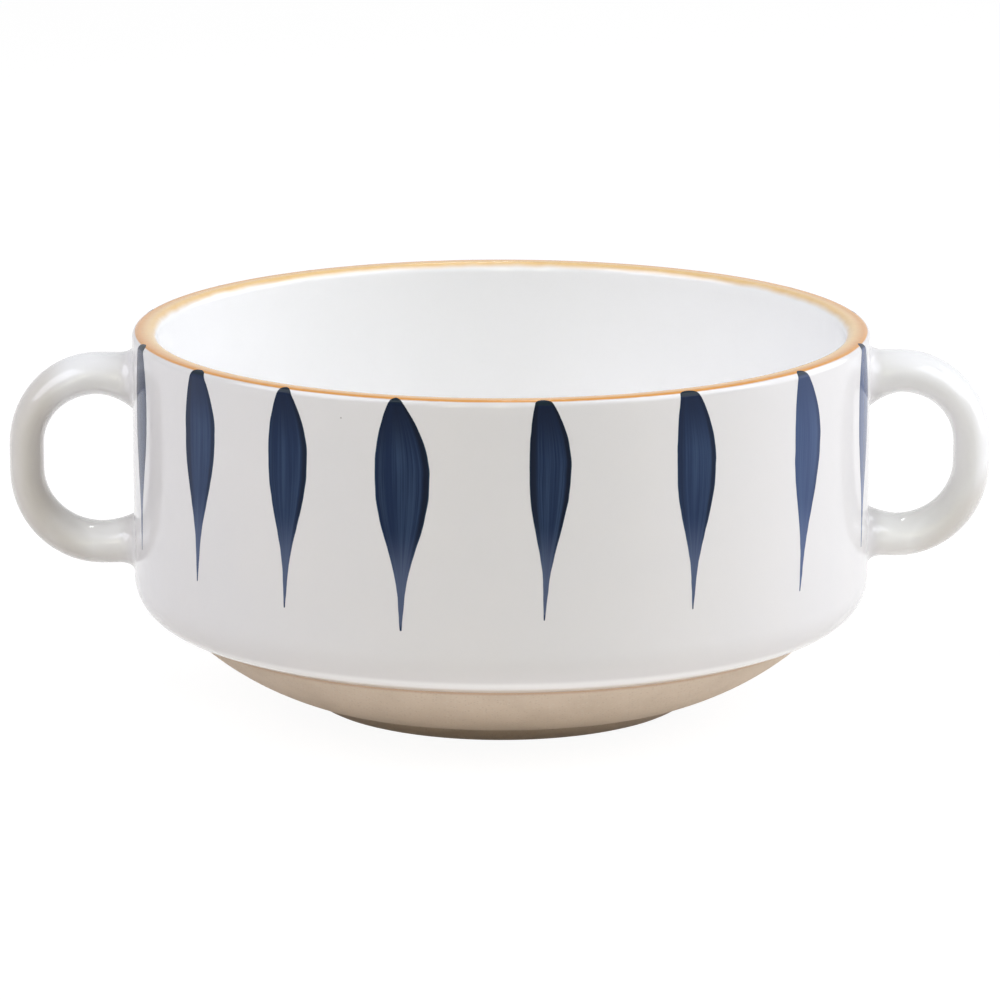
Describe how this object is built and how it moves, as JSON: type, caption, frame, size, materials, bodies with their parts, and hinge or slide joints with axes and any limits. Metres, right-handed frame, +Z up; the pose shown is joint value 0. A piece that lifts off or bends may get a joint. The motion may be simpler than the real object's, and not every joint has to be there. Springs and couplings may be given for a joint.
{
  "type": "lug soup bowl",
  "caption": "Upright round soup bowl with a loop handle on each side, a bare clay belly and foot, a pale glaze, an amber rim and blue brushed leaf strokes.",
  "frame": {"origin": "middle of the foot's underside, on the table", "axes": "+Z up out of the mouth, +X towards the right handle, so the handles lie along X, and -Y towards the viewer of the picture"},
  "size_m": [0.1744, 0.13, 0.0672],
  "materials": {
    "bare_stoneware": "matt unglazed buff stoneware with fine speckle",
    "glazed_handle": "glossy pale glaze over stoneware",
    "glazed_slip": "glossy pale glaze over smoothed slip",
    "outer_glaze": "glossy off-white glaze",
    "inner_glaze": "glossy white liner glaze",
    "amber_rim": "glossy amber iron stain",
    "blue_pigment": "glossy cobalt blue brushwork under clear glaze"
  },
  "bodies": {
    "root": {"bowl_body": "bare_stoneware", "left_handle": "glazed_handle", "right_handle": "glazed_handle", "left_handle_slip": "glazed_slip", "right_handle_slip": "glazed_slip", "outer_glaze": "outer_glaze", "inner_glaze": "inner_glaze", "rim_band": "amber_rim", "leaf_strokes": "blue_pigment"}
  },
  "joints": []
}
